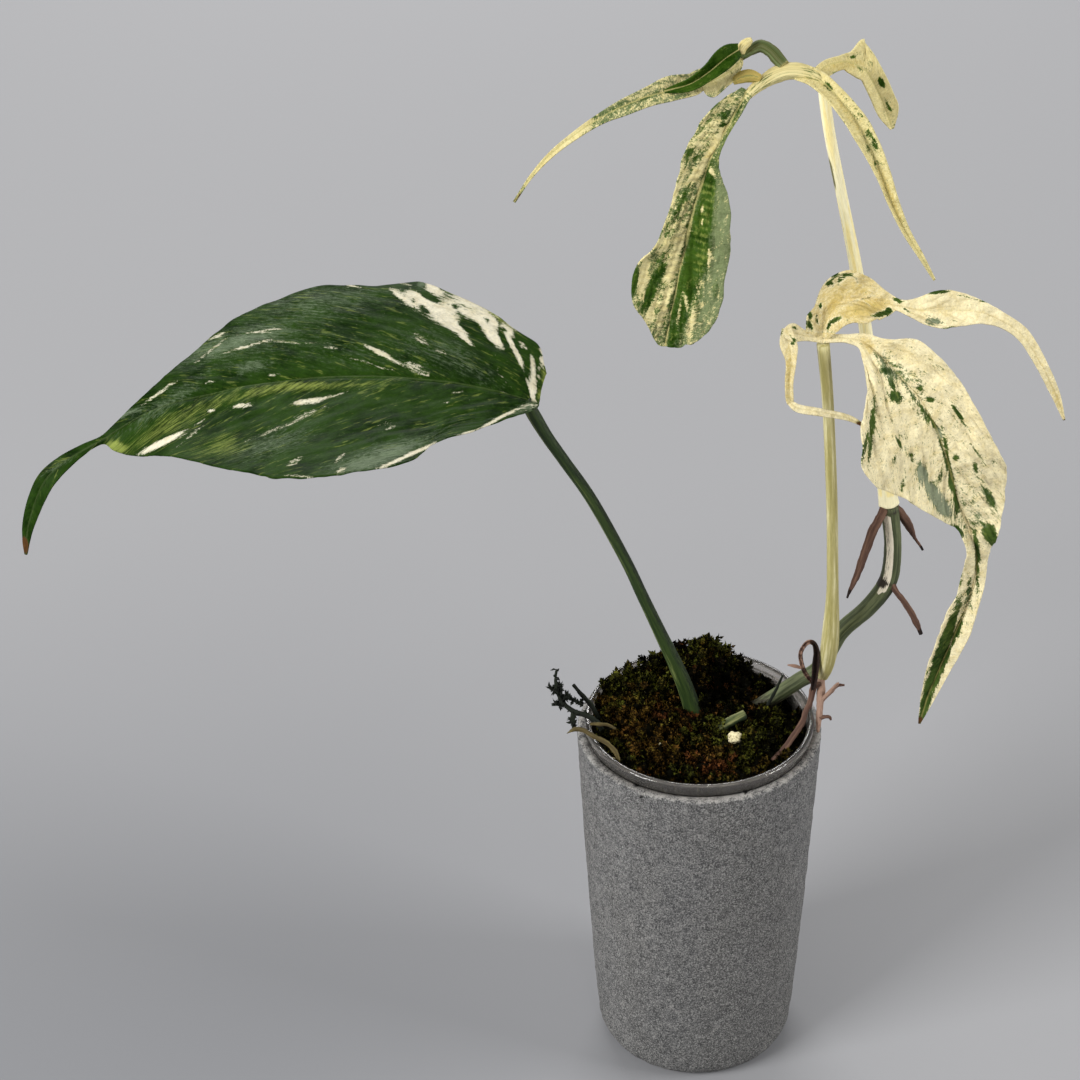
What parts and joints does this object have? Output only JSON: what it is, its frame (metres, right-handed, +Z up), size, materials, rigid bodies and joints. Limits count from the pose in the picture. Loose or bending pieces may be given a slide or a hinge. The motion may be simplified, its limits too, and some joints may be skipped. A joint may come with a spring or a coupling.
{
  "type": "potted variegated amydrium zippelianum",
  "caption": "Young climbing aroid with variegated split leaves on one vine, rooted in moss in a clear nursery pot inside a grey stone-look cover pot.",
  "frame": {"origin": "middle of the cover pot's underside, on the surface that it stands on", "axes": "+Z up, -Y towards the front of the plant, +X to its right as seen from the front"},
  "size_m": [0.352, 0.1076, 0.4083],
  "materials": {
    "cover_pot": "matt, gritty grey stone-like finish, lighter where the rim is worn",
    "clear_liner": "clear thin glossy nursery pot",
    "moss": "damp dark sphagnum and long-fibre mix with brown and green tufts",
    "vine": "satin olive green with dark and cream stripes",
    "petiole_green": "satin green, lighter stripe on one side",
    "petiole_cream": "satin pale yellow-green with dark grooves",
    "leaf_green": "glossy deep green with cream and grey-green variegation",
    "leaf_cream": "satin cream with green specks, streaks and edges",
    "leaf_mottled": "satin mottled green and cream",
    "root": "dry brown aerial root with darker tip",
    "husk": "papery dark brown dried sheath",
    "twig": "pale brown splinter of wood",
    "sprig": "dark wilted moss stems",
    "perlite": "white crumbly perlite"
  },
  "bodies": {
    "root": {"cover_pot": "cover_pot", "liner_pot": "clear_liner", "moss_substrate": "moss", "vine_stem": "vine", "petiole_green_leaf": "petiole_green", "petiole_cream_leaf": "petiole_cream", "petiole_top_leaf": "petiole_cream", "green_leaf": "leaf_green", "cream_leaf": "leaf_cream", "top_leaf": "leaf_mottled", "aerial_root_left": "root", "aerial_root_right": "root", "aerial_root_low": "root", "root_over_rim": "root", "dried_husk": "husk", "cut_stub": "vine", "perlite_grain": "perlite", "dark_stick": "sprig", "moss_sprig": "sprig", "pale_twig": "twig"}
  },
  "joints": []
}
